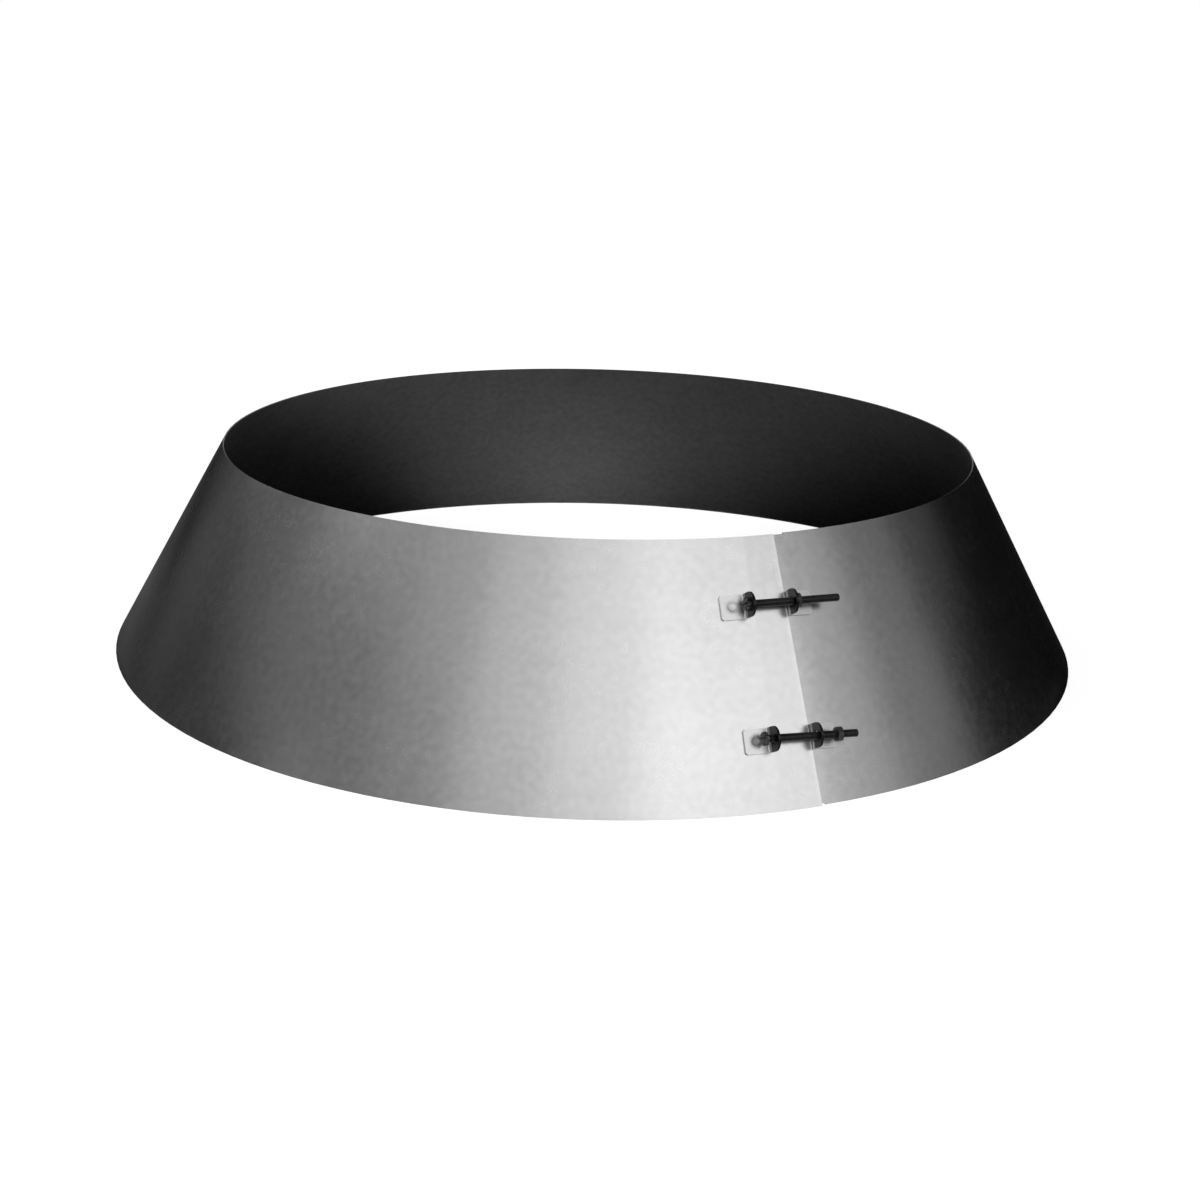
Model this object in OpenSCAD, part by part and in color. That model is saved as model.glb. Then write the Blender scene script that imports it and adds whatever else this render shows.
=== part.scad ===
// Storm collar: a cone of sheet metal that closes round a pipe and sheds the rain.
// The sheet laps over itself at the front, and two long bolts draw the two layers past each other.
// Z is the axis of the cone, the bottom rim stands on Z = 0, and the front faces -Y.
// A place round the collar is an angle in degrees from the front, growing towards +X.
// A place up the sheet is a distance along its slope from the bottom rim.

/* [Collar] */
// Outside diameter of the pipe
pipe_d = 457; // [300:1:700]
// Room between the pipe and the top rim before the bolts are drawn up
pipe_gap = 2.2; // [1:0.1:6]
// Width of the sheet along its slope
sheet_w = 140.5; // [115:0.5:220]
// Slope of the sheet from level, in degrees
slope = 60.75; // [40:0.25:72]
// Thickness of the sheet
sheet_t = 0.7; // [0.5:0.05:1.2]

/* [Lap] */
// Place of the outer layer's free edge, in degrees from the front
seam_at = 23; // [0:0.1:45]
// Length of the lap at mid height
lap_l = 54; // [40:1:90]
// Length at the free edge that stayed flat when the sheet was rolled
flat_l = 19; // [12:0.5:24]
// Gap between the two layers where both are rolled
lap_gap = 0.35; // [0.2:0.05:0.8]
// Angle by which the free edge was sheared out of true
edge_skew = 0.25; // [0:0.05:2.5]
// Strip sheared off each rim of the under layer so that it can't show past the outer one
rim_trim = 0.7; // [0.3:0.1:2.5]
// Length of trimmed top rim that shows beyond the free edge
top_trim_past = 7.5; // [2:0.5:15]
// Length of trimmed bottom rim that shows beyond it
bottom_trim_past = 2; // [1:0.5:15]

/* [Clips] */
// Width of the strip that the clips are bent from
clip_w = 12.7; // [9:0.1:16]
// Thickness of the clips
clip_t = 1.2; // [0.8:0.1:1.6]
// Length of the flat leaf that is spot welded to the sheet
leaf_l = 12; // [9:0.5:18]
// Inside radius of the bend between leaf and ear
bend_r = 1; // [0.5:0.1:1.4]
// Size of the sheared corners at the leaf's end
leaf_corner = 1; // [0.4:0.1:3]
// Diameter of the mark that the spot weld leaves in the leaf
weld_d = 5; // [3:0.5:6]
// Depth of that mark
weld_sink = 0.25; // [0.1:0.05:0.4]
// Distance from the start of the flat length back to the upper head clip's ear
upper_clip_back = 4.2; // [2:0.1:12]
// The same distance at the lower head clip
lower_clip_back = 4; // [2:0.1:9]
// Gap between the free edge and the nut clips' ears
nut_clip_gap = 0.5; // [0.3:0.1:5]
// Distance from the top rim down the sheet to the upper bolt
upper_inset = 36.9; // [20:0.1:45]
// Distance from the bottom rim up the sheet to the lower bolt
lower_inset = 35; // [20:0.1:45]
// Turn of the upper pair of clips out of level, in degrees
upper_turn = -0.6; // [-2:0.1:2]
// Turn of the lower pair of clips out of level, in degrees
lower_turn = -1.6; // [-2:0.1:2]

/* [Bolts] */
// Outside diameter of the bolts' thread
bolt_d = 4; // [3:0.1:5]
// Length of the bolts under the head
bolt_l = 50; // [48:1:80]
// Height of the bolts' axis above the under layer
bolt_lift = 7.5; // [7.3:0.1:12]
// Diameter of the head
head_d = 7; // [6.2:0.1:8]
// Height of the head
head_h = 2.6; // [2:0.1:4]
// Radius of the head's rounded rim
head_round = 1.2; // [0.4:0.1:1.9]
// Width of the driver slot
slot_w = 1.1; // [0.6:0.1:1.6]
// Depth of the driver slot
slot_h = 1.1; // [0.5:0.1:1.5]
// Width of the nuts across their flats
nut_af = 7; // [6:0.1:7.2]
// Thickness of the nuts
nut_h = 3.2; // [2:0.1:4]
// Radial clearance of the bolts in the clips' holes
hole_gap = 0.45; // [0.4:0.05:0.8]
// Radial clearance of the nuts' bores round the bolts
thread_gap = 0.04; // [0.02:0.01:0.1]
// Distance that the lower nut stands off its clip
nut_slack = 9.5; // [0:0.5:12]
// Distance that the slack lower bolt's head stands off its clip
head_slack = 3.6; // [0:0.2:6]
// Lean of the slack lower bolt in its holes, in degrees
slack_lean = -1.2; // [-1.3:0.1:1.3]

/* [Hidden] */
$fn = 180;

// Sizes that two stretches of sheet share are kept to the thousandth, so that their ends match
function thousandth(size) = round(size * 1000) / 1000;

// The sheet's square-cut section leans in by the cone's half angle
lean = 90 - slope;
top_in_r = pipe_d / 2 + pipe_gap;
bottom_in_r = thousandth(top_in_r + sheet_w * cos(slope));
mid_in_r = (top_in_r + bottom_in_r) / 2;

// Angles taken up at mid height by the lap, its flat length and the trimmed rims
lap_turn = lap_l / mid_in_r * 180 / PI;
flat_turn_on_sheet = flat_l / (mid_in_r / cos(slope)) * 180 / PI;
flat_turn = atan(tan(flat_turn_on_sheet) / cos(slope));
top_trim_turn = top_trim_past / mid_in_r * 180 / PI;
bottom_trim_turn = bottom_trim_past / mid_in_r * 180 / PI;
flat_start = seam_at - flat_turn;
// Places on the band counted from the start of the flat length
under_end = flat_turn - lap_turn;
top_trim_end = flat_turn + top_trim_turn;
bottom_trim_end = flat_turn + bottom_trim_turn;
// Half a turn on, the roll opens out so that it climbs onto the under layer
opening = 180;
climb = thousandth((sheet_t + lap_gap) / sin(slope) / (1 - cos(opening - under_end)));

// The clips and bolts
clip_seat = 0.03;
upper_ear_back = flat_l + upper_clip_back;
lower_ear_back = flat_l + lower_clip_back;
hole_r = bolt_d / 2 + hole_gap;
weld_ball_r = (pow(weld_d / 2, 2) + pow(weld_sink, 2)) / (2 * weld_sink);
tip_chamfer = bolt_d / 10;
nut_chamfer = 30;
bend_steps = 12;
cut = 1;
upper = sheet_w - upper_inset;
lower = lower_inset;

// Radius and height of the under layer's outside face at a place up the sheet
function face_r(up) = bottom_in_r - up * cos(slope) + sheet_t * sin(slope);
function face_z(up) = up * sin(slope) + sheet_t * cos(slope);

// Place of the free edge at a place up the sheet
function edge_at(up) = seam_at + asin((up - sheet_w / 2) * tan(edge_skew) / face_r(up));

// A bolt's own place round the collar is midway between its head clip and the free edge
function bolt_at(up, ear_back) = edge_at(up) - asin(ear_back / 2 / face_r(up));

// Seen along the slope at a bolt, each layer's outside face is a circle: [centre x, centre z, radius]
function under_circle(up) = [0, -face_r(up) / sin(slope), face_r(up) / sin(slope)];
function outer_circle(up, ear_back) =
    let (away = flat_start + opening - bolt_at(up, ear_back))
    let (r = (face_r(up) + climb * (1 + pow(cos(slope), 2) * cos(away))) / sin(slope))
    [-climb * sin(away), -face_r(up) / sin(slope) - climb * sin(slope) * cos(away), r];

// Tilt of a clip's leaf that lies on such a circle and ends in an ear at x = ear
function leaf_tilt(circle, ear) =
    let (a = circle[2] + clip_seat + bend_r + clip_t)
    asin((ear + bend_r - circle[0]) / norm([a, leaf_l / 2])) + atan(leaf_l / 2 / a);

// Height of the centre of that clip's bend
function bend_z(circle, ear) =
    let (a = circle[2] + clip_seat + bend_r + clip_t, tilt = leaf_tilt(circle, ear))
    thousandth(circle[1] + a * cos(tilt) + leaf_l / 2 * sin(tilt));

// Puts X along the collar, Y up the sheet and Z straight out of it, at a bolt's place
module at_bolt(up, ear_back, turn)
    rotate([0, 0, bolt_at(up, ear_back) - 90])
        translate([face_r(up), 0, face_z(up)])
            rotate([0, slope, 0])
                rotate([0, 0, 90 + turn])
                    children();

// Puts a bolt's axis along Z, with the underside of its head at x = seat
module along_bolt(up, ear_back, turn, seat, lean_in = 0)
    at_bolt(up, ear_back, turn)
        translate([0, 0, bolt_lift])
            rotate([0, 0, lean_in])
                translate([seat, 0, 0])
                    rotate([0, 90, 0])
                        children();

// A strip of the sheet's section, from one distance up the slope to another
module section(from, to, radius, proud = 0)
    translate([radius, 0])
        rotate(lean)
            translate([-proud, from])
                square([sheet_t + 2 * proud, to - from]);

// The flat end of the outer layer in its own plane, from the corner of the rolled section:
// X runs down the slope, and both rims are arcs about the cone's tip
module flat_pattern() {
    bottom_l = thousandth((bottom_in_r + climb) / cos(slope));
    tip = [-bottom_l, 0];
    mid = tip + (bottom_l - sheet_w / 2) * [cos(flat_turn_on_sheet), sin(flat_turn_on_sheet)];
    edge = sheet_w * [cos(flat_turn_on_sheet - edge_skew), sin(flat_turn_on_sheet - edge_skew)];
    intersection() {
        translate(tip)
            difference() {
                circle(bottom_l);
                circle(bottom_l - sheet_w);
            }
        polygon([[-sheet_w - cut, 0], [cut, 0], mid + edge, mid - edge]);
    }
}

// The band with the start of its flat length towards +X
module lapped_sheet() {
    // The under layer, from the opening back to its hidden end
    difference() {
        mirror([0, 1, 0])
            rotate([0, 0, opening])
                rotate_extrude(angle = opening - under_end)
                    section(0, sheet_w, bottom_in_r);
        rotate([0, 0, under_end - cut]) {
            rotate_extrude(angle = bottom_trim_end - under_end + cut)
                section(-cut, rim_trim, bottom_in_r, cut);
            rotate_extrude(angle = top_trim_end - under_end + cut)
                section(sheet_w - rim_trim, sheet_w + cut, bottom_in_r, cut);
        }
    }
    // The outer layer, from the opening round to its flat free end
    translate([climb, 0, 0]) {
        rotate([0, 0, opening])
            rotate_extrude(angle = 360 - opening)
                section(0, sheet_w, bottom_in_r + climb);
        translate([bottom_in_r + climb, 0, 0])
            rotate([0, slope, 0])
                linear_extrude(sheet_t)
                    flat_pattern();
    }
}

module collar_band() color("silver")
    rotate([0, 0, flat_start - 90])
        lapped_sheet();

// The ear's outline from the bend up, round about the bolt's hole
module ear_outline(base) difference() {
    union() {
        translate([-clip_w / 2, base])
            square([clip_w, bolt_lift - base]);
        translate([0, bolt_lift])
            circle(clip_w / 2);
    }
    translate([0, bolt_lift])
        circle(hole_r);
}

// The section of a clip's bend and leaf: round the outside, along the leaf and back round the inside
function bent_leaf(ear, centre, tilt) =
    let (along = leaf_l * [cos(tilt), -sin(tilt)])
    let (rays = [for (i = [0:bend_steps]) let (a = 180 + (90 - tilt) * i / bend_steps) [cos(a), sin(a)]])
    let (pivot = [ear + bend_r, centre])
    let (outside = [for (ray = rays) pivot + (bend_r + clip_t) * ray])
    let (inside = [for (i = [bend_steps:-1:0]) pivot + bend_r * rays[i]])
    concat(outside, [outside[bend_steps] + along, inside[0] + along], inside);

// A clip whose leaf runs towards +X from the face of its ear at x = ear
module clip(circle, ear) {
    tilt = leaf_tilt(circle, ear);
    centre = bend_z(circle, ear);
    translate([ear - clip_t, 0, 0])
        rotate([90, 0, 90])
            linear_extrude(clip_t)
                ear_outline(centre);
    difference() {
        rotate([90, 0, 0])
            linear_extrude(clip_w, center = true)
                polygon(bent_leaf(ear, centre, tilt));
        // The sheared corners of the leaf and the mark of the spot weld
        translate([ear + bend_r, 0, centre])
            rotate([0, tilt, 0])
                translate([0, 0, -bend_r - clip_t]) {
                    for (side = [-1, 1])
                        translate([leaf_l, side * clip_w / 2, 0])
                            rotate([0, 0, 45])
                                cube([leaf_corner * sqrt(2), leaf_corner * sqrt(2), 4 * clip_t], center = true);
                    translate([leaf_l / 2, 0, clip_t - weld_sink + weld_ball_r])
                        sphere(weld_ball_r);
                }
    }
}

module head_clip(up, ear_back, turn) color("gainsboro") {
    circle_under = outer_circle(up, ear_back);
    at_bolt(up, ear_back, turn)
        mirror([1, 0, 0])
            clip([-circle_under[0], circle_under[1], circle_under[2]], ear_back / 2);
}

module nut_clip(up, ear_back, turn) color("gainsboro")
    at_bolt(up, ear_back, turn)
        clip(under_circle(up), ear_back / 2 + nut_clip_gap + clip_t);

// Half of the head's section, with its top edge rounded
module head_section() {
    square([head_d / 2 - head_round, head_h]);
    square([head_d / 2, head_h - head_round]);
    translate([head_d / 2 - head_round, head_h - head_round])
        intersection() {
            circle(head_round);
            square(head_round);
        }
}

// A slotted machine screw that points along +Z, with the underside of its head at Z = 0
module bolt() color("dimgray") {
    difference() {
        mirror([0, 0, 1])
            rotate_extrude()
                head_section();
        translate([-head_d, -slot_w / 2, -head_h - cut])
            cube([2 * head_d, slot_w, slot_h + cut]);
    }
    cylinder(h = bolt_l - tip_chamfer, d = bolt_d);
    translate([0, 0, bolt_l - tip_chamfer])
        cylinder(h = tip_chamfer, d1 = bolt_d, d2 = bolt_d - 2 * tip_chamfer);
}

// A hexagon nut that stands on Z = 0, with its corners turned off on both faces
module nut() color("dimgray") {
    corner_r = nut_af / 2 / cos(30);
    drop = (corner_r - nut_af / 2) * tan(nut_chamfer);
    difference() {
        intersection() {
            cylinder(h = nut_h, r = corner_r, $fn = 6);
            rotate_extrude()
                polygon([
                    [0, 0], [nut_af / 2, 0], [corner_r, drop],
                    [corner_r, nut_h - drop], [nut_af / 2, nut_h], [0, nut_h],
                ]);
        }
        translate([0, 0, -cut])
            cylinder(h = nut_h + 2 * cut, r = bolt_d / 2 + thread_gap);
    }
}

module upper_head_clip() head_clip(upper, upper_ear_back, upper_turn);
module upper_nut_clip() nut_clip(upper, upper_ear_back, upper_turn);
module upper_bolt() along_bolt(upper, upper_ear_back, upper_turn, -upper_ear_back / 2) bolt();
module upper_nut()
    along_bolt(upper, upper_ear_back, upper_turn, upper_ear_back / 2 + nut_clip_gap + clip_t)
        nut();

module lower_head_clip() head_clip(lower, lower_ear_back, lower_turn);
module lower_nut_clip() nut_clip(lower, lower_ear_back, lower_turn);
module lower_bolt()
    along_bolt(lower, lower_ear_back, lower_turn, -lower_ear_back / 2 - head_slack, slack_lean)
        bolt();
module lower_nut()
    along_bolt(
        lower, lower_ear_back, lower_turn,
        lower_ear_back / 2 + nut_clip_gap + clip_t + nut_slack, slack_lean
    )
        nut();

collar_band();
upper_head_clip();
upper_nut_clip();
upper_bolt();
upper_nut();
lower_head_clip();
lower_nut_clip();
lower_bolt();
lower_nut();
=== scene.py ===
import bmesh
import bpy
import numpy as np
from bpy.props import FloatProperty, FloatVectorProperty, IntProperty, PointerProperty
from mathutils import Matrix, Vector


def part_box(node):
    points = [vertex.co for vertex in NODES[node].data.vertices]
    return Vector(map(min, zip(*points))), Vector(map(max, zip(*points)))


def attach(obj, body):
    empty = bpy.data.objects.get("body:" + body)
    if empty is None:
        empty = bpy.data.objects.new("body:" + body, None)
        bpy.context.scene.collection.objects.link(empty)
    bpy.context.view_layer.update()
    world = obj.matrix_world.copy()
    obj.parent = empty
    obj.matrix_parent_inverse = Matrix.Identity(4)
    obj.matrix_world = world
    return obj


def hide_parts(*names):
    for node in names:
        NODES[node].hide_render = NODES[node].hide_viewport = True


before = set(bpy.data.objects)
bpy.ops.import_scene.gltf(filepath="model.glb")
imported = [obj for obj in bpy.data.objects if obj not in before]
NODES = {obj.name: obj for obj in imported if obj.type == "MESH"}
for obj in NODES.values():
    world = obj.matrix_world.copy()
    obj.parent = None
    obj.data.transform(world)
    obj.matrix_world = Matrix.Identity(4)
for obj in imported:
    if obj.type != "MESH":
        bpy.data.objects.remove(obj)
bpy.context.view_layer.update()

bl_info = {
    "name": "Storm collar",
    "version": (1, 0, 0),
    "blender": (4, 5, 0),
    "location": "View3D > Sidebar > Storm collar",
    "description": "Finishes a lapped sheet metal storm collar: sheet, clips, draw bolts, nuts and its stage",
    "category": "Object",
}

MM = 0.001

# Sizes of the collar, in millimetres and degrees, as in the part's own source.
SLOPE = 60.75
SHEET_W = 140.5
SHEET_T = 0.7
TOP_IN_R = 457 / 2 + 2.2
BOTTOM_IN_R = round(TOP_IN_R + SHEET_W * np.cos(np.radians(SLOPE)), 3)
SEAM_AT = 23.0
EDGE_SKEW = 0.25
FLAT_L = 19.0
CLIP_T = 1.2
LEAF_L = 12.0
WELD_D = 5.0
NUT_CLIP_GAP = 0.5
BOLT_D = 4.0
BOLT_L = 50.0
BOLT_LIFT = 7.5
HEAD_D = 7.0
HEAD_H = 2.6
HEAD_ROUND = 1.2
SLOT_W = 1.1
SLOT_H = 1.1
SLOT_ROOM = 0.05
NUT_AF = 7.0
NUT_H = 3.2
NUT_BORE_R = BOLT_D / 2 + 0.04
SLOPE_SIN = float(np.sin(np.radians(SLOPE)))
SLOPE_COS = float(np.cos(np.radians(SLOPE)))

# Thread, in millimetres: how far the shank reaches into the head, how much the tip is turned down and how
# fast it widens from there, and the grid's rows in one pitch.
INTO_HEAD = 0.4
TIP_CUT = 0.45
TIP_SLOPE = 1.1
ROWS_PER_PITCH = 8
# The thread's ridge across one pitch, as shares of its height: the level its flanks would meet at, and their
# fall from the ridge's middle to the root's middle. What is over 1 or under 0 is cut flat.
RIDGE_PEAK = 1.35
RIDGE_FALL = 2.2
# Nut: its face as a share of its width, the slope of its turned corners in degrees, how far the bore's wide
# mouth and its taper reach in millimetres, and how much of the thread's depth the bore shows.
NUT_FACE = 0.985
NUT_CORNER_SLOPE = 30
NUT_MOUTH = 0.6
NUT_TAPER = 0.3
NUT_THREAD = 0.6
# Rubbing, from 0 in a corner that nothing touches to 1 on a bare crest.
WEAR_SLOT = 0.2
WEAR_FLAT = 0.5
WEAR_UNDER_HEAD = 0.6
WEAR_CORNER = 0.55

# Edges sharper than this stay sharp, in degrees.
SHARP_FROM = 35
# Points nearer than this are one, and a face thinner than that is none, in metres.
MERGE = 1e-7
THIN = 1e-8
# How far a new piece may be off its CAD node's box, and what of a leaf counts as its bend, in millimetres.
SEAT_ROOM = 0.35
BEND_ROOM = 1.0

# Strength of each finer layer of a pattern, as a share of the layer before it.
FINER_SHARE = 0.6
# Finish of the sheet: lumps per metre of each pattern, and the rolled clouds' stretch and share.
MOTTLE_LUMPS = 250.0
CLOUD_LUMPS = 24.0
ROLLED_LUMPS = 16.0
ROLLED_STRETCH = (1, 1, 9)
ROLLED_SHARE = 0.6
RELIEF_LUMPS = 180.0
# Where the sheet's masks begin and end: the inside and the cut edges by how far a face points out, the strip
# of painted highlight by metres past the free edge, and the collar's front by metres along Y.
OUTSIDE = (-0.6, 0.0)
CUT_EDGE = (0.35, 0.75)
EDGE_HIGHLIGHT_BEGINS = (-0.0030, -0.0008)
EDGE_HIGHLIGHT_ENDS = (0.0003, 0.0006)
FRONT = (-0.15, -0.1)
SHEET_ROUGH_SPREAD = 0.04
INSIDE_ROUGHER = 0.10
# Finish of the clips: the weld's core, lightened as painted highlight, and its dull ring as shares of its
# width, and the heights off the sheet, in metres, between which the painted shade that darkens the ears sets
# in.
WELD_CORE = (0.22, 0.60)
WELD_RING = (0.55, 0.85)
EAR_SHADE = (0.0034, 0.0060)
CLIP_GRAIN_LUMPS = 1500.0
CLIP_LINE_LUMPS = 700.0
CLIP_LINE_STRETCH = (3, 3, 0.4)
# Finish of the bolts and nuts: the grey of a thread's root as a share of its crest's, and the rubbing at
# which bare steel starts to show and shows in full.
BOLT_GRAIN_LUMPS = 1800.0
BOLT_BLOTCH_LUMPS = 320.0
ROOT_SHARE = 0.35
RUBBED_WEAR = (0.1, 0.9)
STEEL_RELIEF = 0.00002
STEEL_METALLIC = 0.95
# What each pattern and mark adds to a steel's grey, its roughness and its relief.
# In the clips' grey, the weld core's share is painted highlight.
CLIP_GREY = {"grain": 0.16, "lines": 0.14, "ring": -0.08, "weld_core_highlight": 0.12}
CLIP_ROUGH = {"grain": 0.12, "lines": 0.10, "ring": 0.10, "weld_core_highlight": 0.08}
CLIP_RELIEF = {"grain": 0.5, "lines": 0.6}
BOLT_GREY = {"grain": 0.2, "blotch": 0.3}
BOLT_ROUGH = {"grain": 0.14, "unrubbed": 0.15}
BOLT_RELIEF = {"grain": 1.0, "blotch": 0.5}

# The two pairs of clips: place up the sheet, distance from the free edge back to the head clip's ear, turn
# out of level, and how far the bolt's head and its nut stand off their clips.
UPPER = {
    "name": "upper", "up": SHEET_W - 36.9, "ear_back": FLAT_L + 4.2, "turn": -0.6,
    "head_slack": 0.0, "nut_slack": 0.0, "lean": 0.0,
}
LOWER = {
    "name": "lower", "up": 35.0, "ear_back": FLAT_L + 4.0, "turn": -1.6,
    "head_slack": 3.6, "nut_slack": 9.5, "lean": -1.2,
}
PAIRS = (UPPER, LOWER)


# Places on the sheet

def face_r(up):
    """Radius of the under layer's outside face at a distance up the slope."""
    return BOTTOM_IN_R - up * SLOPE_COS + SHEET_T * SLOPE_SIN


def face_z(up):
    """Height of that face: the distance up the slope times its sine, plus the laid-over thickness."""
    return up * SLOPE_SIN + SHEET_T * SLOPE_COS


def bolt_at(up, ear_back):
    """Angle of a bolt round the collar: half the distance to the head clip's ear back from the free edge."""
    skewed = (up - SHEET_W / 2) * np.tan(np.radians(EDGE_SKEW))
    edge = SEAM_AT + np.degrees(np.arcsin(skewed / face_r(up)))
    return edge - np.degrees(np.arcsin(ear_back / 2 / face_r(up)))


def turned(axis, degrees):
    """A turn about X, Y or Z as a four by four matrix."""
    return Matrix.Rotation(np.radians(degrees), 4, axis)


def clip_frame(pair):
    """Matrix that puts X along the collar, Y up the sheet and Z straight out of it at a bolt's place: round
    to its angle, out to the sheet, over by the slope, then by the pair's own turn."""
    up = pair["up"]
    round_to = turned("Z", bolt_at(up, pair["ear_back"]) - 90)
    out = round_to @ Matrix.Translation((face_r(up), 0, face_z(up)))
    return out @ turned("Y", SLOPE) @ turned("Z", 90 + pair["turn"])


def bolt_frame(pair, seat):
    """Matrix that puts a bolt's axis along Z, with Z = 0 at a seat on that axis."""
    out = clip_frame(pair) @ Matrix.Translation((0, 0, BOLT_LIFT)) @ turned("Z", pair["lean"])
    return out @ Matrix.Translation((seat, 0, 0)) @ turned("Y", 90)


def placed(points, matrix):
    """Points in millimetres moved by a matrix and brought to metres."""
    rows = np.array(matrix)
    return (points @ rows[:3, :3].T + rows[:3, 3]) * MM


# Meshes from grids

def grid_faces(rows, columns, wrap_rows=False):
    """Four-cornered faces between neighbouring points of a grid that is stored row after row. Every row
    closes on itself, and the last row closes on the first where wrap_rows says so."""
    r = np.arange(rows if wrap_rows else rows - 1)[:, None]
    c = np.arange(columns)[None, :]
    r2, c2 = (r + 1) % rows, (c + 1) % columns
    corners = (r * columns + c, r * columns + c2, r2 * columns + c2, r2 * columns + c)
    return np.stack([np.broadcast_to(k, np.broadcast(r, c).shape) for k in corners], -1).reshape(-1, 4)


def make_piece(name, shells):
    """One mesh object from (points, faces, wear) shells, merged, turned outwards and ridden on the frame."""
    points, faces, wear, first = [], [], [], 0
    for shell_points, shell_faces, shell_wear in shells:
        points.append(shell_points)
        faces.extend((np.asarray(f) + first).tolist() for f in shell_faces)
        wear.append(np.broadcast_to(shell_wear, len(shell_points)))
        first += len(shell_points)
    mesh = bpy.data.meshes.new(name)
    mesh.from_pydata(np.concatenate(points).tolist(), [], faces)
    layer = mesh.attributes.new("wear", "FLOAT", "POINT")
    layer.data.foreach_set("value", np.concatenate(wear).astype(np.float32))
    clean_mesh(mesh)
    mesh.shade_smooth()
    mesh.set_sharp_from_angle(angle=np.radians(SHARP_FROM))
    piece = bpy.data.objects.new(name, mesh)
    bpy.context.scene.collection.objects.link(piece)
    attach(piece, "root")
    return piece


def clean_mesh(mesh):
    """Merges points that fall together, drops faces with no area and turns the faces outwards."""
    work = bmesh.new()
    work.from_mesh(mesh)
    bmesh.ops.remove_doubles(work, verts=work.verts, dist=MERGE)
    bmesh.ops.dissolve_degenerate(work, edges=work.edges, dist=THIN)
    bmesh.ops.recalc_face_normals(work, faces=work.faces)
    work.to_mesh(mesh)
    work.free()


def thread_ridge(z, angle, pitch):
    """Height of the thread at each height and angle, 0 in the root and 1 on the crest. The phase is
    height / pitch - angle / full turn, and the ridge falls away on both sides of the middle of each turn."""
    phase = z[:, None] / pitch - angle[None, :] / (2 * np.pi)
    return np.clip(RIDGE_PEAK - RIDGE_FALL * np.abs(2 * (phase % 1) - 1), 0, 1)


def threaded_shank(pitch, depth, per_turn):
    """The bolt's shank along +Z: radius is the crest's less the depth times what the eased ridge lacks of 1,
    held under a cone at the tip. The first row starts inside the head."""
    start, crest = -INTO_HEAD, BOLT_D / 2
    z = np.linspace(start, BOLT_L, int((BOLT_L - start) / pitch * ROWS_PER_PITCH) + 1)
    angle = np.linspace(0, 2 * np.pi, per_turn, endpoint=False)
    ridge = thread_ridge(z, angle, pitch)
    ridge = ridge * ridge * (3 - 2 * ridge)
    radius = crest - depth * (1 - ridge)
    tip = crest - TIP_CUT + (BOLT_L - z[:, None]) * TIP_SLOPE
    radius = np.minimum(radius, tip)
    points = np.stack([
        radius * np.cos(angle), radius * np.sin(angle), np.broadcast_to(z[:, None], radius.shape),
    ], -1).reshape(-1, 3)
    faces = grid_faces(len(z), per_turn)
    ends = np.array([[0, 0, start], [0, 0, BOLT_L]])
    ring = np.arange(per_turn)
    last = (len(z) - 1) * per_turn
    cap_a = np.stack([np.full(per_turn, len(points)), (ring + 1) % per_turn, ring], -1)
    cap_b = np.stack([np.full(per_turn, len(points) + 1), last + ring, last + (ring + 1) % per_turn], -1)
    wear = np.concatenate([ridge.ravel(), [WEAR_FLAT, WEAR_FLAT]])
    return np.concatenate([points, ends]), [*faces, *cap_a, *cap_b], wear


def slotted_head(slices=41, steps=40):
    """The head below Z = 0 as slices across the slot. A slice is a loop: over the top from one side to the
    other, and back underneath. The top's depth is a quarter round at the rim, or the slot's floor between the
    slot's two walls, where two slices stand at one place to make each wall."""
    radius = HEAD_D / 2
    wall = SLOT_W / 2
    half = np.sin(np.linspace(-np.pi / 2, np.pi / 2, slices)) * radius
    half = half[np.abs(half) > wall + SLOT_ROOM]
    place = np.concatenate([half[half < 0], [-wall, -wall, wall, wall], half[half > 0]])
    in_slot = np.zeros(len(place), bool)
    first = int((half < 0).sum())
    in_slot[first + 1:first + 3] = True
    width = np.sqrt(np.clip(radius ** 2 - place ** 2, 0, None))
    across = np.sin(np.linspace(-np.pi / 2, np.pi / 2, steps))
    x = width[:, None] * across[None, :]
    r = np.sqrt(x ** 2 + place[:, None] ** 2)
    over = np.clip(r - (radius - HEAD_ROUND), 0, HEAD_ROUND)
    top = HEAD_H - HEAD_ROUND + np.sqrt(np.clip(HEAD_ROUND ** 2 - over ** 2, 0, None))
    top = np.where(in_slot[:, None], np.minimum(top, HEAD_H - SLOT_H), top)
    y = np.broadcast_to(place[:, None], x.shape)
    upper = np.stack([x, y, -top], -1)
    under = np.stack([x, y, np.zeros_like(x)], -1)[:, ::-1]
    loops = np.concatenate([upper, under], 1)
    rows, columns = loops.shape[:2]
    faces = list(grid_faces(rows, columns))
    faces.append(np.arange(columns)[::-1])
    faces.append((rows - 1) * columns + np.arange(columns))
    wear_and_sheen = WEAR_FLAT + over / HEAD_ROUND * (1 - WEAR_FLAT)
    wear = np.where(in_slot[:, None], WEAR_SLOT, wear_and_sheen)
    wear = np.concatenate([wear, np.full_like(wear, WEAR_UNDER_HEAD)], 1)
    return loops.reshape(-1, 3), faces, wear.ravel()


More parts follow.
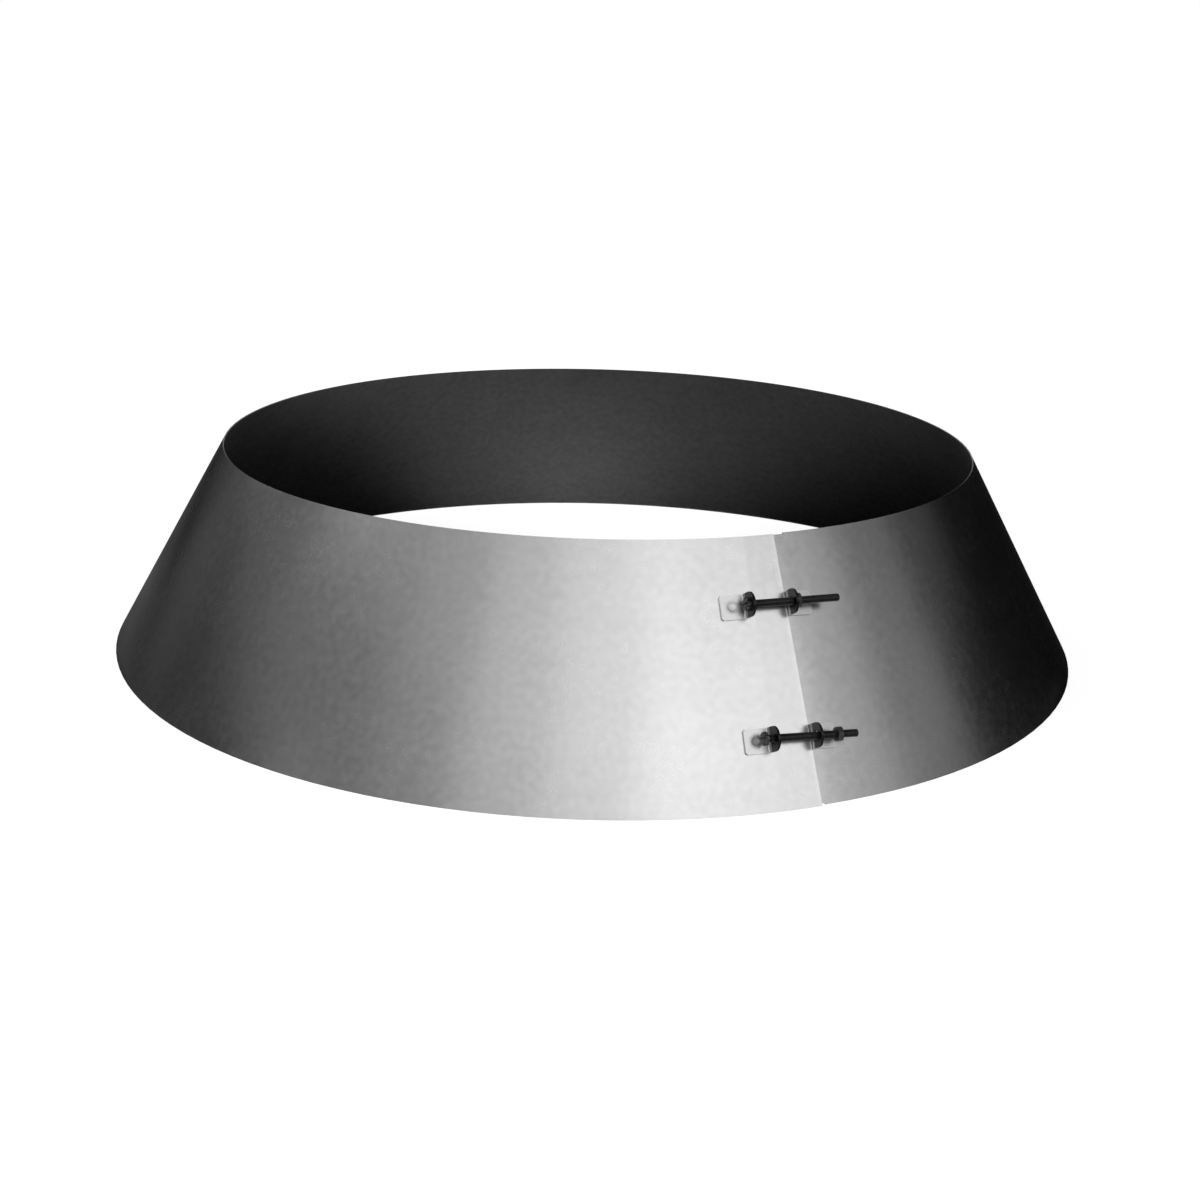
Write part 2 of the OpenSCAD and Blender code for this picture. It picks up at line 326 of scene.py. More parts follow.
def threaded_nut(pitch, depth, per_flat=12, bore_rows=26):
    """A nut on Z = 0 as a closed loop carried round the axis: up the threaded bore, out over the top face,
    down the turned-off corner and the hexagon's flat, and back in underneath. The flat's radius is the half
    width over the cosine of the angle from its middle."""
    around = per_flat * 6
    angle = np.linspace(0, 2 * np.pi, around, endpoint=False)
    from_flat = angle % (np.pi / 3) - np.pi / 6
    hexagon = NUT_AF / 2 / np.cos(from_flat)
    face_edge = NUT_AF / 2 * NUT_FACE
    drop = (hexagon - face_edge) * np.tan(np.radians(NUT_CORNER_SLOPE))
    z = np.linspace(0, NUT_H, bore_rows)
    groove = thread_ridge(z, angle, pitch)
    taper = np.clip(NUT_TAPER - np.minimum(z, NUT_H - z), 0, NUT_TAPER)[:, None]
    bore = NUT_BORE_R + depth * groove * NUT_THREAD + taper
    ones = np.ones(around)
    mouth, face = (NUT_BORE_R + NUT_MOUTH) * ones, face_edge * ones
    rows = [(bore[i], z[i] * ones) for i in range(bore_rows)]
    rows += [(mouth, NUT_H * ones), (face, NUT_H * ones), (hexagon, NUT_H - drop)]
    rows += [(hexagon, drop), (face, 0 * ones), (mouth, 0 * ones)]
    loop = np.stack([np.stack(row, -1) for row in rows])
    points = np.stack([loop[..., 0] * np.cos(angle), loop[..., 0] * np.sin(angle), loop[..., 1]], -1)
    wear = np.full(loop.shape[:2], WEAR_FLAT)
    wear[:bore_rows] = 1 - groove
    corner = (hexagon - face_edge) / (hexagon.max() - face_edge)
    wear[-4:-2] = WEAR_CORNER + (1 - WEAR_CORNER) * np.clip(corner, 0, 1)
    return points.reshape(-1, 3), list(grid_faces(len(rows), around, wrap_rows=True)), wear.ravel()


# Shader maths

class Value:
    """A number socket. Ordinary arithmetic on it adds Math nodes."""

    def __init__(self, recipe, socket):
        self.recipe = recipe
        self.socket = socket

    def math(self, operation, *others):
        """A Math node on this number and the others."""
        inputs = {i: v for i, v in enumerate((self, *others))}
        return self.recipe.value("ShaderNodeMath", {"operation": operation}, inputs)

    def __add__(self, other):
        return self.math("ADD", other)

    def __sub__(self, other):
        return self.math("SUBTRACT", other)

    def __mul__(self, other):
        return self.math("MULTIPLY", other)

    def __truediv__(self, other):
        return self.math("DIVIDE", other)

    def __rsub__(self, other):
        return self.recipe.value("ShaderNodeMath", {"operation": "SUBTRACT"}, {0: other, 1: self})

    __radd__ = __add__
    __rmul__ = __mul__

    def between(self, low, high):
        """0 at low, 1 at high, eased at both ends."""
        settings = {"interpolation_type": "SMOOTHSTEP"}
        inputs = {"Value": self, "From Min": low, "From Max": high}
        return self.recipe.value("ShaderNodeMapRange", settings, inputs)


class Recipe:
    """The node tree of a material or of the world, filled one node at a time."""

    def __init__(self, tree):
        self.tree = tree
        tree.nodes.clear()

    def node(self, kind, settings=None, inputs=None):
        """A node of any type: its settings first, then the values or links of its sockets."""
        made = self.tree.nodes.new(kind)
        for name, value in (settings or {}).items():
            setattr(made, name, value)
        for name, value in (inputs or {}).items():
            socket = made.inputs[name]
            source = getattr(value, "socket", value)
            if isinstance(source, bpy.types.NodeSocket):
                self.tree.links.new(source, socket)
            else:
                socket.default_value = source
        return made

    def value(self, kind, settings=None, inputs=None, output=0):
        """A node whose output is a number."""
        return Value(self, self.node(kind, settings, inputs).outputs[output])

    def mix(self, share, a, b):
        """A colour between two colours."""
        made = self.node("ShaderNodeMix", {"data_type": "RGBA"}, {0: share, 6: a, 7: b})
        return made.outputs[2]

    def scaled(self, colour, level):
        """A colour made lighter or darker by a number."""
        start = colour if isinstance(colour, bpy.types.NodeSocket) else colour[:3]
        inputs = {0: start, "Scale": level}
        return self.node("ShaderNodeVectorMath", {"operation": "SCALE"}, inputs).outputs[0]

    def place(self, scale=(1, 1, 1)):
        """Object coordinates, scaled along each axis."""
        here = self.node("ShaderNodeTexCoord").outputs["Object"]
        inputs = {"Vector": here, "Scale": scale}
        return self.node("ShaderNodeMapping", {"vector_type": "POINT"}, inputs).outputs[0]

    def noise(self, where, lumps, detail=3.0):
        """Soft random grey between 0 and 1, with this many lumps per metre. The detail is how many finer
        layers lie over them, each with lumps of half the size."""
        inputs = {"Vector": where, "Scale": lumps, "Detail": detail, "Roughness": FINER_SHARE}
        return self.value("ShaderNodeTexNoise", {"noise_dimensions": "3D"}, inputs)

    def away(self, where, centre):
        """Distance of each point from a fixed centre."""
        return self.value("ShaderNodeVectorMath", {"operation": "DISTANCE"}, {0: where, 1: centre}, "Value")

    def bump(self, height, depth, strength):
        """Normals of a relief of that depth, in metres."""
        inputs = {"Height": height, "Distance": depth, "Strength": strength}
        return self.node("ShaderNodeBump", None, inputs).outputs[0]

    def glow(self, level):
        """A surface that gives off plain white light of that level."""
        inputs = {"Color": self.scaled(grey(1.0), level), "Strength": 1.0}
        return self.node("ShaderNodeEmission", None, inputs).outputs[0]

    def metal(self, colour, rough, normal, metallic):
        """The surface: a Principled shader into the output."""
        inputs = {"Base Color": colour, "Roughness": rough, "Metallic": metallic, "Normal": normal}
        shader = self.node("ShaderNodeBsdfPrincipled", None, inputs).outputs[0]
        self.node("ShaderNodeOutputMaterial", None, {"Surface": shader})


def blend(shares, parts):
    """Sum of the parts, each times its share."""
    return sum(parts[name] * share for name, share in shares.items())


def new_material(name):
    """A material and the recipe that fills its node tree."""
    material = bpy.data.materials.new(name)
    material.use_nodes = True
    return material, Recipe(material.node_tree)


def grey(level):
    """A neutral colour."""
    return (level, level, level, 1.0)


def position(recipe):
    """The point's own X, Y and Z and its distance from the cone's axis, in metres."""
    here = recipe.node("ShaderNodeTexCoord").outputs["Object"]
    split = recipe.node("ShaderNodeSeparateXYZ", None, {0: here})
    x, y, z = (Value(recipe, socket) for socket in split.outputs)
    return x, y, z, (x * x + y * y).math("SQRT")


def facing_out(recipe, x, y, radius):
    """How far the face's own normal points out of the cone: 1 outside, -1 inside, near 0 on a cut edge."""
    normal = recipe.node("ShaderNodeNewGeometry").outputs["True Normal"]
    split = recipe.node("ShaderNodeSeparateXYZ", None, {0: normal})
    nx, ny, nz = (Value(recipe, socket) for socket in split.outputs)
    return (nx * x + ny * y) / radius * SLOPE_SIN + nz * SLOPE_COS


def past_seam(x, y):
    """Distance past the free edge, in metres, along a line that is square to the collar's radius there."""
    angle = np.radians(SEAM_AT)
    return x * float(np.cos(angle)) + y * float(np.sin(angle))


def zinc_sheet_finish(settings):
    """Dull galvanised sheet: a soft mottle and broad clouds in its grey and its gloss, shallow lumps in its
    relief, a painted highlight as a lighter strip along the free edge, painted shade on the sheared rims,
    and a rougher inside with a dull bloom and a grey darkened as painted shade."""
    material, r = new_material("zinc_sheet_finish")
    x, y, _, radius = position(r)
    out = facing_out(r, x, y, radius)
    inside = 1 - out.between(*OUTSIDE)
    sheared = 1 - out.math("ABSOLUTE").between(*CUT_EDGE)
    past = past_seam(x, y)
    # Painted highlight: a lighter strip on the outside along the free edge, only at the collar's front.
    wear_and_sheen = past.between(*EDGE_HIGHLIGHT_BEGINS) * (1 - past.between(*EDGE_HIGHLIGHT_ENDS)) * (1 - inside)
    wear_and_sheen = wear_and_sheen * (1 - y.between(*FRONT))
    here = r.place()
    mottle = r.noise(here, MOTTLE_LUMPS, detail=0.0) - 0.5
    clouds = r.noise(here, CLOUD_LUMPS, detail=2.0) - 0.5
    rolled = r.noise(r.place(ROLLED_STRETCH), ROLLED_LUMPS, detail=1.0) - 0.5
    spread = mottle * settings.mottle + clouds * settings.clouds
    spread = spread + rolled * settings.clouds * ROLLED_SHARE
    # Painted shade: the inside's grey is made darker.
    level = (1 + spread * (1 + inside)) * (1 - inside * settings.inside_shade)
    # Painted shade: the rims' cut edges take a near-black grey in place of the sheet's.
    base = r.mix(sheared, grey(settings.sheet_level), grey(settings.rim_shade_level))
    # Painted highlight: the strip along the free edge takes a lighter grey.
    base = r.mix(wear_and_sheen, base, grey(settings.edge_highlight_level))
    rough = (mottle + clouds) * SHEET_ROUGH_SPREAD + inside * INSIDE_ROUGHER + settings.sheet_rough
    normal = r.bump(r.noise(here, RELIEF_LUMPS, detail=0.0), settings.relief, strength=1.0)
    r.metal(r.scaled(base, level), rough, normal, 1 - inside * settings.inside_bloom)
    return material


def clip_steel_finish(settings, welds):
    """Bent strip: fine rolling lines, painted shade that darkens the ears, and at each spot weld a painted
    highlight, a lighter middle, inside a faint dull ring."""
    material, r = new_material("clip_steel_finish")
    _, _, z, radius = position(r)
    here = r.place()
    grain = r.noise(here, CLIP_GRAIN_LUMPS) - 0.5
    lines = r.noise(r.place(CLIP_LINE_STRETCH), CLIP_LINE_LUMPS) - 0.5
    weld_core_highlight, ring = 0.0, 0.0
    for centre in welds:
        away = r.away(here, centre) / (WELD_D * MM)
        core = 1 - away.between(*WELD_CORE)
        # Painted highlight: the middle of each weld is made lighter. The ring round it is a real dull mark.
        weld_core_highlight = core + weld_core_highlight
        ring = (1 - away.between(*WELD_RING)) - core + ring
    off_sheet = (radius - BOTTOM_IN_R * MM) * SLOPE_SIN + z * SLOPE_COS
    # Painted shade, not oxide scale: the clip goes near black with height off the sheet, over the ears.
    scale = off_sheet.between(*EAR_SHADE)
    parts = {"grain": grain, "lines": lines, "ring": ring, "weld_core_highlight": weld_core_highlight}
    level = blend(CLIP_GREY, parts) + 1
    base = r.mix(scale, grey(settings.clip_level), grey(settings.ear_shade_level))
    rough = blend(CLIP_ROUGH, parts) + settings.clip_rough
    normal = r.bump(blend(CLIP_RELIEF, parts), STEEL_RELIEF, strength=0.7)
    r.metal(r.scaled(base, level), rough, normal, STEEL_METALLIC)
    return material


def bolt_steel_finish(settings):
    """Dulled plated screws: dark in the thread's root and the slot, worn bright on crests and corners."""
    material, r = new_material("bolt_steel_finish")
    here = r.place()
    wear = r.value("ShaderNodeAttribute", {"attribute_name": "wear"}, None, "Fac")
    grain = r.noise(here, BOLT_GRAIN_LUMPS) - 0.5
    blotch = r.noise(here, BOLT_BLOTCH_LUMPS) - 0.5
    parts = {"grain": grain, "blotch": blotch, "unrubbed": 1 - wear}
    root = grey(settings.bolt_level * ROOT_SHARE)
    base = r.mix(wear.between(*RUBBED_WEAR), root, grey(settings.bolt_level))
    level = blend(BOLT_GREY, parts) + 1
    rough = blend(BOLT_ROUGH, parts) + settings.bolt_rough
    normal = r.bump(blend(BOLT_RELIEF, parts), STEEL_RELIEF, strength=0.6)
    r.metal(r.scaled(base, level), rough, normal, STEEL_METALLIC)
    return material


# What a user may set

class CollarSheetSettings(bpy.types.PropertyGroup):
    """Finish of the rolled sheet"""
    sheet_level: FloatProperty(
        name="Sheet grey", description="Grey of the sheet", default=0.72, min=0, max=1, subtype="FACTOR")
    sheet_rough: FloatProperty(
        name="Roughness", description="Roughness of the sheet", default=0.26, min=0, max=1, subtype="FACTOR")
    # Painted highlight: the grey of the lighter strip along the free edge.
    edge_highlight_level: FloatProperty(
        name="Free edge", description="Grey of the lap's rubbed edge", default=0.76, min=0, max=1,
        subtype="FACTOR")
    # Painted shade: the near-black grey of the rims' cut edges.
    rim_shade_level: FloatProperty(
        name="Rims", description="Grey of the rims' sheared edges", default=0.10, min=0, max=1,
        subtype="FACTOR")
    clouds: FloatProperty(
        name="Clouds", description="Contrast of the broad clouds", default=0.10, min=0, max=1,
        subtype="FACTOR")
    mottle: FloatProperty(
        name="Mottle", description="Contrast of the soft mottle", default=0.15, min=0, max=1,
        subtype="FACTOR")
    relief: FloatProperty(
        name="Relief", description="Depth of the surface's relief", default=0.000025, unit="LENGTH",
        precision=6)
    # Painted shade: how much darker the inside's grey is made.
    inside_shade: FloatProperty(
        name="Inside", description="How much darker the inside is", default=0.2, min=0, max=1,
        subtype="FACTOR")
    inside_bloom: FloatProperty(
        name="Bloom", description="Share of dull bloom inside", default=0.03, min=0, max=1, subtype="FACTOR")


class CollarSteelSettings(bpy.types.PropertyGroup):
    """Finish and thread of the clips, bolts and nuts"""
    clip_level: FloatProperty(
        name="Clip grey", description="Grey of the clips", default=0.76, min=0, max=1, subtype="FACTOR")
    # Painted shade: the near-black grey that the ears are darkened to.
    ear_shade_level: FloatProperty(
        name="Ear grey", description="Grey of the ears' scale", default=0.04, min=0, max=1, subtype="FACTOR")
    clip_rough: FloatProperty(
        name="Clip roughness", description="Roughness of the clips", default=0.32, min=0, max=1,
        subtype="FACTOR")
    bolt_level: FloatProperty(
        name="Bolt grey", description="Grey of bolts and nuts", default=0.16, min=0, max=1, subtype="FACTOR")
    bolt_rough: FloatProperty(
        name="Bolt roughness", description="Roughness of bolts and nuts", default=0.28, min=0, max=1,
        subtype="FACTOR")
    pitch: FloatProperty(
        name="Pitch", description="Pitch of the thread", default=0.0007, min=0.0003, unit="LENGTH",
        precision=5)
    depth: FloatProperty(
        name="Depth", description="Depth of the thread", default=0.0004, min=0, unit="LENGTH", precision=5)
    per_turn: IntProperty(
        name="Steps", description="Steps round one turn of thread", default=28, min=8, max=64)


class CollarStageSettings(bpy.types.PropertyGroup):
    """Floor, lamps and camera"""
    floor_size: FloatProperty(
        name="Floor", description="Radius of the floor", default=2.5, min=1, unit="LENGTH")
    floor_level: FloatProperty(
        name="Floor white", description="How white the floor is in view", default=0.93, min=0, max=1,
        subtype="FACTOR")
    world_fill: FloatProperty(
        name="World", description="Strength of the world's fill light", default=0.25, min=0, max=1)
    lens: FloatProperty(
        name="Lens", description="Focal length on a 36 mm sensor", default=52.374, min=10, unit="CAMERA")
    camera_at: FloatVectorProperty(
        name="Camera", description="Place of the camera", default=(0.003413, -1.076489, 0.365687),
        unit="LENGTH", subtype="TRANSLATION")
    camera_down: FloatProperty(
        name="Tilt", description="Angle that the camera looks down by", default=0.3149, subtype="ANGLE")
    camera_roll: FloatProperty(
        name="Roll", description="Roll of the camera", default=0.02842, subtype="ANGLE")


# Stage

# A curved wall of soft boxes, in metres and degrees. Each tier is a height angle, then the radiance of a box
# every 20 degrees of azimuth from behind (-180) round by the left, the front (0) and the right.
LAMP_DISTANCE = 2.0
LAMP_WIDTH, LAMP_TALL = 0.7, 0.6
LAMP_STEP = 20
FIRST_AZIMUTH = -180
LAMP_TIERS = (
    (8, (
        0.3, 0.15, 0.03, 0.06, 0.03, 0, 0.25, 0.25, 0.25,
        0.25, 0.25, 0.25, 0.10, 0.11, 0, 0, 0, 0.2,
    )),
    (22, (
        0.6, 0.8, 0.9, 0.17, 0.10, 0.14, 0.13, 0.21, 0.49,
        0.76, 1.20, 1.16, 0.46, 0.18, 0.055, 0, 0.15, 0.4,
    )),
    (38, (
        0.9, 1.0, 1.1, 1.1, 1.1, 0.75, 0.38, 0.43, 0.67,
        0.96, 1.16, 1.0, 0.32, 0, 0, 0.2, 0.4, 0.6,
    )),
    (58, (
        0.5, 0.7, 0.8, 1.0, 1.0, 0.5, 0, 0, 0,
        0, 0, 0, 0, 0, 0.3, 0.4, 0.5, 0.5,
    )),
)
AIM = np.array([0, 0, 0.06])
# The cloth's grey, the heights of the two cards over the floor, and the reach of the one inside the collar.
FLAG_LEVEL = 0.01
OUTER_CARD_Z = 0.0001
CARD_Z = 0.0002
CARD_R = 0.299
# The floor's own grey, and the radii between which its plain white grows to full.
FLOOR_GREY = 0.45
FLOOR_PLAIN = (0.35, 1.2)
# The cloth tent: how far it stands off the floor's rim in metres, and how far its lowest and highest rings
# lie below the level and the upright in radians.
TENT_ROOM = 0.1
TENT_DIP = 0.02
# The camera's sensor in millimetres, and the reach of its view in metres.
SENSOR_WIDTH = 36.0
NEAREST, FURTHEST = 0.05, 40.0
# Soft patches of light on the card inside the collar and on the one round it: X, Y, reach and radiance.
INNER_PATCHES = (
    (-0.04, 0.136, 0.12, 0.057),
    (-0.08, 0.205, 0.12, 0.008),
    (0.0, 0.205, 0.12, 0.026),
    (0.08, 0.205, 0.12, 0.016),
    (-0.04, 0.274, 0.12, 0.086),
    (0.04, 0.274, 0.12, 0.037),
    (0.0, -0.2, 0.14, 0.09),
    (-0.14, -0.15, 0.12, 0.07),
    (0.14, -0.15, 0.12, 0.07),
    (0.10, 0.205, 0.08, 0.010),
    (-0.11, 0.235, 0.07, 0.022),
)
OUTER_PATCHES = (
    (-0.55, 0.32, 0.42, 0.06),
    (-0.36, 0.12, 0.12, 0.074),
    (-0.34, 0.0, 0.10, 0.065),
    (-0.32, -0.09, 0.08, 0.053),
    (0.0, -0.42, 0.30, 0.45),
    (-0.26, -0.36, 0.26, 0.30),
    (0.26, -0.36, 0.26, 0.30),
    (0.42, -0.13, 0.14, 0.12),
    (0.0, 0.46, 0.34, 0.45),
)


def direction(azimuth, height):
    """Unit vector from the object towards an azimuth (0 is the front, 90 is +X) and a height angle."""
    a, e = np.radians(azimuth), np.radians(height)
    return np.array([np.sin(a) * np.cos(e), -np.cos(a) * np.cos(e), np.sin(e)])


def add_lamp(azimuth, height, radiance):
    """A rectangular soft box that faces the object. Its width fits its tier's circle, which is smaller the
    higher it is, by the cosine of the height angle. Its power is radiance x area x pi."""
    name = f"soft_box_{height}_{azimuth % 360}"
    lamp = bpy.data.lights.new(name, "AREA")
    lamp.shape = "RECTANGLE"
    width = LAMP_WIDTH * float(np.cos(np.radians(height)))
    lamp.size, lamp.size_y = width, LAMP_TALL
    lamp.energy = radiance * width * LAMP_TALL * np.pi
    holder = bpy.data.objects.new(name, lamp)
    back = direction(azimuth, height)
    side = np.cross([0, 0, 1], back)
    side = side / np.linalg.norm(side)
    over = np.cross(back, side)
    holder.matrix_world = axes_matrix(side, over, back, AIM + back * LAMP_DISTANCE)
    holder.visible_camera = False
    bpy.context.scene.collection.objects.link(holder)


def axes_matrix(x, y, z, at):
    """Matrix with these three axes and this place."""
    columns = np.eye(4)
    for i, axis in enumerate((x, y, z, at)):
        columns[:3, i] = axis
    return Matrix(columns.tolist())


def seen_by_camera_or_gloss(recipe):
    """1 for rays from the camera and for rays that metal or glass sends on, else 0."""
    path = recipe.node("ShaderNodeLightPath").outputs
    sight = [Value(recipe, path[name]) for name in ("Is Camera Ray", "Is Glossy Ray", "Is Transmission Ray")]
    return (sight[0] + sight[1] + sight[2]).math("MINIMUM", 1.0)


def floor_finish(level):
    """White floor: its own diffuse light plus a plain white to the eye and to metal, so a shadow stays on it.
    The plain white grows to full away from the object, where less of the lamps' light arrives."""
    material, r = new_material("floor_white")
    radius = position(r)[-1]
    plain = (radius.between(*FLOOR_PLAIN) * (1 - level) + level) * seen_by_camera_or_gloss(r)
    white = r.glow(plain)
    own = r.node("ShaderNodeBsdfDiffuse", None, {"Color": grey(FLOOR_GREY)}).outputs[0]
    both = r.node("ShaderNodeAddShader", None, {0: white, 1: own}).outputs[0]
    r.node("ShaderNodeOutputMaterial", None, {"Surface": both})
    return material


def flag_finish():
    """Black cloth of the tent that keeps the white room out of the metal."""
    material, r = new_material("flag_black")
    cloth = r.node("ShaderNodeBsdfDiffuse", None, {"Color": grey(FLAG_LEVEL)}).outputs[0]
    r.node("ShaderNodeOutputMaterial", None, {"Surface": cloth})
    return material


def card_finish(name, patches):
    """Black card with soft patches of light that fade out towards their reach."""
    material, r = new_material(name)
    here = r.place()
    glow = 0.0
    for x, y, reach, radiance in patches:
        glow = (1 - r.away(here, (x, y, CARD_Z)).between(0.0, reach)) * radiance + glow
    r.node("ShaderNodeOutputMaterial", None, {"Surface": r.glow(glow)})
    return material


def tent_surface(radius, around=48, up=12):
    """Half a ball over the object: radius x (cosine of height, sine of height) turned through the azimuth."""
    a = np.linspace(0, 2 * np.pi, around, endpoint=False)[None, :]
    e = np.linspace(-TENT_DIP, np.pi / 2 - TENT_DIP, up)[:, None]
    ball = np.stack([np.cos(e) * np.cos(a), np.cos(e) * np.sin(a), np.sin(e) + 0 * a], -1) * radius
    faces = grid_faces(up, around).tolist() + [((up - 1) * around + np.arange(around)).tolist()]
    return ball.reshape(-1, 3), faces


def disc_surface(radius, height, around=64):
    """One flat face at a height, its rim on a circle."""
    a = np.linspace(0, 2 * np.pi, around, endpoint=False)
    points = np.stack([np.cos(a) * radius, np.sin(a) * radius, np.full(around, height)], -1)
    return points, [list(range(around))]


def add_stage_piece(name, points, faces, material, hidden):
    """A stage object. Hidden ones show only in the metal: the eye and the shadows pass them by."""
    mesh = bpy.data.meshes.new(name)
    mesh.from_pydata(points.tolist(), [], faces)
    mesh.materials.append(material)
    piece = bpy.data.objects.new(name, mesh)
    bpy.context.scene.collection.objects.link(piece)
    if hidden:
        piece.visible_camera = False
        piece.visible_shadow = False


class COLLAR_OT_stage(bpy.types.Operator):
    """Make the floor, world, lamps, flags and camera"""
    bl_idname = "collar.stage"
    bl_label = "Stage"

    def execute(self, context):
        settings = context.scene.collar_stage
        scene = context.scene
        scene.view_settings.view_transform = "Standard"
        world = bpy.data.worlds.new("white_room")
        world.use_nodes = True
        scene.world = world
        r = Recipe(world.node_tree)
        seen = seen_by_camera_or_gloss(r)
        strength = seen * (1 - settings.world_fill) + settings.world_fill
        inputs = {"Color": r.scaled(grey(1.0), strength), "Strength": 1.0}
        room = r.node("ShaderNodeBackground", None, inputs).outputs[0]
        r.node("ShaderNodeOutputWorld", None, {"Surface": room})
        size = settings.floor_size
        inner = card_finish("card_inside", INNER_PATCHES)
        outer = card_finish("card_outside", OUTER_PATCHES)
        add_stage_piece("floor", *disc_surface(size, 0.0), floor_finish(settings.floor_level), False)
        add_stage_piece("tent", *tent_surface(size + TENT_ROOM), flag_finish(), True)
        add_stage_piece("floor_card", *disc_surface(size, OUTER_CARD_Z), outer, True)
        add_stage_piece("inner_card", *disc_surface(CARD_R, CARD_Z), inner, True)
        for height, tier in LAMP_TIERS:
            for i, radiance in enumerate(tier):
                if radiance:
                    add_lamp(i * LAMP_STEP + FIRST_AZIMUTH, height, radiance)
        self.camera(settings, scene)
        return {"FINISHED"}

    def camera(self, settings, scene):
        """The photograph's place, height angle, roll and lens."""
        lens = bpy.data.cameras.new("camera")
        lens.sensor_width = SENSOR_WIDTH
        lens.lens = settings.lens
        lens.clip_start, lens.clip_end = NEAREST, FURTHEST
        eye = bpy.data.objects.new("camera", lens)
        down, roll = settings.camera_down, settings.camera_roll
        back = np.array([0, -np.cos(down), np.sin(down)])
        side, over = np.array([1.0, 0, 0]), np.array([0, np.sin(down), np.cos(down)])
        right = np.cos(roll) * side + np.sin(roll) * over
        up = np.cos(roll) * over - np.sin(roll) * side
        eye.matrix_world = axes_matrix(right, up, back, np.array(settings.camera_at))
        scene.collection.objects.link(eye)
        scene.camera = eye


# Pieces

def give_material(node, material):
    """Puts one material into every slot of a CAD node."""
    slots = NODES[node].data.materials
    if not len(slots):
        slots.append(material)
    for i in range(len(slots)):
        slots[i] = material


def mesh_points(mesh):
    """A mesh's points as an array, in metres."""
    points = np.empty(3 * len(mesh.vertices))
    mesh.vertices.foreach_get("co", points)
    return points.reshape(-1, 3)


def check_seat(piece, node):
    """Stops if a new piece isn't where its CAD node is."""
    low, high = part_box(node)
    points = mesh_points(piece.data)
    off = max(np.abs(points.min(0) - low).max(), np.abs(points.max(0) - high).max())
    if off > SEAT_ROOM * MM:
        raise RuntimeError(f"{piece.name} is {off / MM:.2f} mm away from {node}")


def weld_centre(pair, node, side):
    """Middle of a clip's leaf, in metres. Seen in the pair's own frame, it is half a leaf's length in from
    the end that lies furthest along X, times side, and midway through what lies beyond the bend."""
    frame_of_pair = clip_frame(pair)
    local = placed(mesh_points(NODES[node].data) / MM, frame_of_pair.inverted()) / MM
    far = (local[:, 0] * side).max()
    leaf = local[local[:, 0] * side > far - LEAF_L + BEND_ROOM]
    middle = (leaf.min(0) + leaf.max(0)) / 2
    middle[0] = side * (far - LEAF_L / 2)
    return tuple(placed(middle, frame_of_pair))


def weld_centres():
    """The four spot welds."""
    found = []
    for pair in PAIRS:
        found.append(weld_centre(pair, f"{pair['name']}_head_clip", -1))
        found.append(weld_centre(pair, f"{pair['name']}_nut_clip", 1))
    return found


class COLLAR_OT_sheet(bpy.types.Operator):
    """Finish the rolled and lapped sheet"""
    bl_idname = "collar.sheet"
    bl_label = "Sheet"

    def execute(self, context):
        give_material("collar_band", zinc_sheet_finish(context.scene.collar_sheet))
        return {"FINISHED"}


class COLLAR_OT_clips(bpy.types.Operator):
    """Finish the four bent clips"""
    bl_idname = "collar.clips"
    bl_label = "Clips"

    def execute(self, context):
        material = clip_steel_finish(context.scene.collar_steel, weld_centres())
        for pair in PAIRS:
            give_material(f"{pair['name']}_head_clip", material)
            give_material(f"{pair['name']}_nut_clip", material)
        return {"FINISHED"}


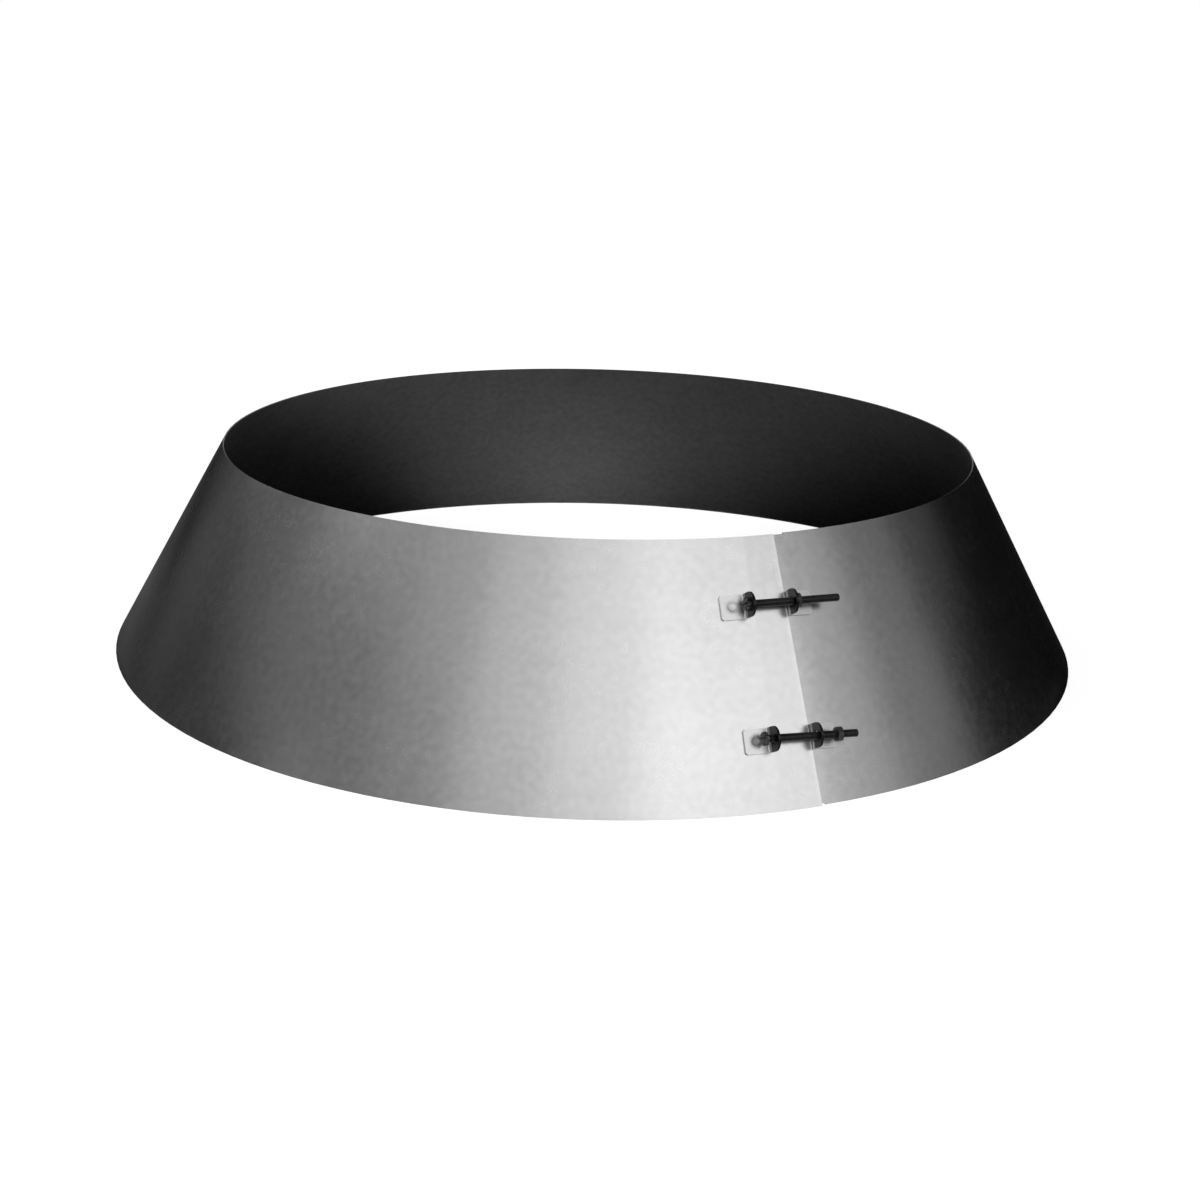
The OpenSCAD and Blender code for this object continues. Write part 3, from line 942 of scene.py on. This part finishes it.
class COLLAR_OT_bolts(bpy.types.Operator):
    """Make the two threaded bolts and their nuts"""
    bl_idname = "collar.bolts"
    bl_label = "Bolts and nuts"

    def execute(self, context):
        settings = context.scene.collar_steel
        pitch, depth = settings.pitch / MM, settings.depth / MM
        material = bolt_steel_finish(settings)
        for pair in PAIRS:
            place = bolt_frame(pair, -pair["ear_back"] / 2 - pair["head_slack"])
            shells = [threaded_shank(pitch, depth, settings.per_turn), slotted_head()]
            shells = [(placed(points, place), faces, wear) for points, faces, wear in shells]
            self.stand_in(f"{pair['name']}_bolt", "threaded", shells, material)
            place = bolt_frame(pair, pair["ear_back"] / 2 + NUT_CLIP_GAP + CLIP_T + pair["nut_slack"])
            points, faces, wear = threaded_nut(pitch, depth)
            self.stand_in(f"{pair['name']}_nut", "tapped", [(placed(points, place), faces, wear)], material)
        return {"FINISHED"}

    def stand_in(self, node, word, shells, material):
        """Makes a piece and lets it stand for its CAD node."""
        piece = make_piece(f"{node}_{word}", shells)
        piece.data.materials.append(material)
        check_seat(piece, node)
        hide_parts(node)


class COLLAR_PT_panel(bpy.types.Panel):
    """Settings and steps of the collar"""
    bl_label = "Storm collar"
    bl_idname = "COLLAR_PT_panel"
    bl_space_type = "VIEW_3D"
    bl_region_type = "UI"
    bl_category = "Storm collar"

    def draw(self, context):
        for group in (context.scene.collar_sheet, context.scene.collar_steel, context.scene.collar_stage):
            box = self.layout.box()
            for name in group.__annotations__:
                box.prop(group, name)
        for step in STEPS:
            self.layout.operator(step.bl_idname)


STEPS = (COLLAR_OT_stage, COLLAR_OT_sheet, COLLAR_OT_clips, COLLAR_OT_bolts)
GROUPS = {
    "collar_sheet": CollarSheetSettings,
    "collar_steel": CollarSteelSettings,
    "collar_stage": CollarStageSettings,
}


def register():
    """Makes the settings, steps and panel known to Blender."""
    for group in GROUPS.values():
        bpy.utils.register_class(group)
    for step in STEPS:
        bpy.utils.register_class(step)
    bpy.utils.register_class(COLLAR_PT_panel)
    for name, group in GROUPS.items():
        setattr(bpy.types.Scene, name, PointerProperty(type=group))


def unregister():
    """Takes them away again."""
    for name in GROUPS:
        delattr(bpy.types.Scene, name)
    for made in (COLLAR_PT_panel, *STEPS, *GROUPS.values()):
        bpy.utils.unregister_class(made)


def main():
    """Runs every step."""
    register()
    bpy.ops.collar.stage()
    bpy.ops.collar.sheet()
    bpy.ops.collar.clips()
    bpy.ops.collar.bolts()


if __name__ == "__main__":
    main()
